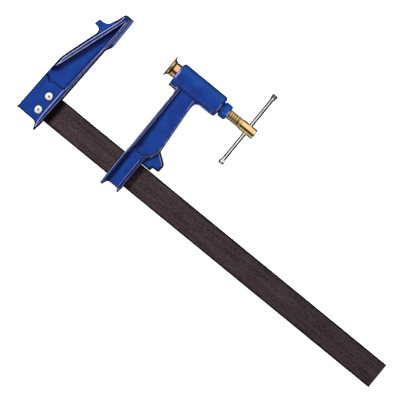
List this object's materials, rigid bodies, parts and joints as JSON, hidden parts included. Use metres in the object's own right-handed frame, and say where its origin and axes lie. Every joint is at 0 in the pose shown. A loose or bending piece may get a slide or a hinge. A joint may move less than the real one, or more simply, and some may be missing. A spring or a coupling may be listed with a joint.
{
  "type": "screw clamp",
  "caption": "Heavy-duty bar clamp: flat steel rail, riveted cast jaw, sliding cast arm, screw-driven plunger with a tilting pad, and a cross handle through the spindle.",
  "frame": {"origin": "middle of the fixed jaw's clamping face, on the spindle axis", "axes": "+X along the rail from the fixed jaw to the free end, +Y from the rail to the spindle axis, +Z square to the clamp's plane; the clamp lies on its side"},
  "size_m": [0.5506, 0.2207, 0.0292],
  "materials": {
    "rail_steel": "hot-rolled, dark scale",
    "blue_enamel": "gloss enamel on cast iron",
    "rivet_steel": "bright",
    "yellow_zinc": "yellow-passivated zinc on steel",
    "copper_zinc": "polished, red-gold passivated",
    "bright_nickel": "bright plated",
    "pin_steel": "plain"
  },
  "bodies": {
    "frame": {"rail": "rail_steel", "fixed_jaw": "blue_enamel", "upper_jaw_rivet": "rivet_steel", "lower_jaw_rivet": "rivet_steel"},
    "arm": {"sliding_arm": "blue_enamel", "spindle_nut": "blue_enamel", "guide_pin": "pin_steel"},
    "plunger": {"plunger": "copper_zinc", "front_holding_pin": "pin_steel", "rear_holding_pin": "pin_steel"},
    "spindle": {"spindle": "yellow_zinc"},
    "tommy": {"tommy_bar": "bright_nickel"},
    "pad": {"pressure_pad": "yellow_zinc"}
  },
  "joints": [
    {"name": "arm_slide", "type": "slide", "parent": "frame", "child": "arm", "axis": [1, 0, 0], "range_m": [-0.0475, 0.36]},
    {"name": "plunger_slide", "type": "slide", "parent": "arm", "child": "plunger", "axis": [1, 0, 0], "range_m": [-0.01905, 0.00655]},
    {"name": "spindle_turn", "type": "hinge", "parent": "plunger", "child": "spindle", "pos_m": [0.15, 0, 0], "axis": [1, 0, 0], "range_deg": [-2280, 780]},
    {"name": "tommy_slide", "type": "slide", "parent": "spindle", "child": "tommy", "axis": [0, 1, 0], "range_m": [-0.039, 0.039]},
    {"name": "pad_tilt", "type": "hinge", "parent": "plunger", "child": "pad", "pos_m": [0.0732, 0, 0], "axis": [0, 0, 1], "range_deg": [-4, 4]}
  ],
  "couplings": [
    {"joint": "plunger_slide", "follows": "spindle_turn", "m_per_rad": 0.00047746}
  ]
}
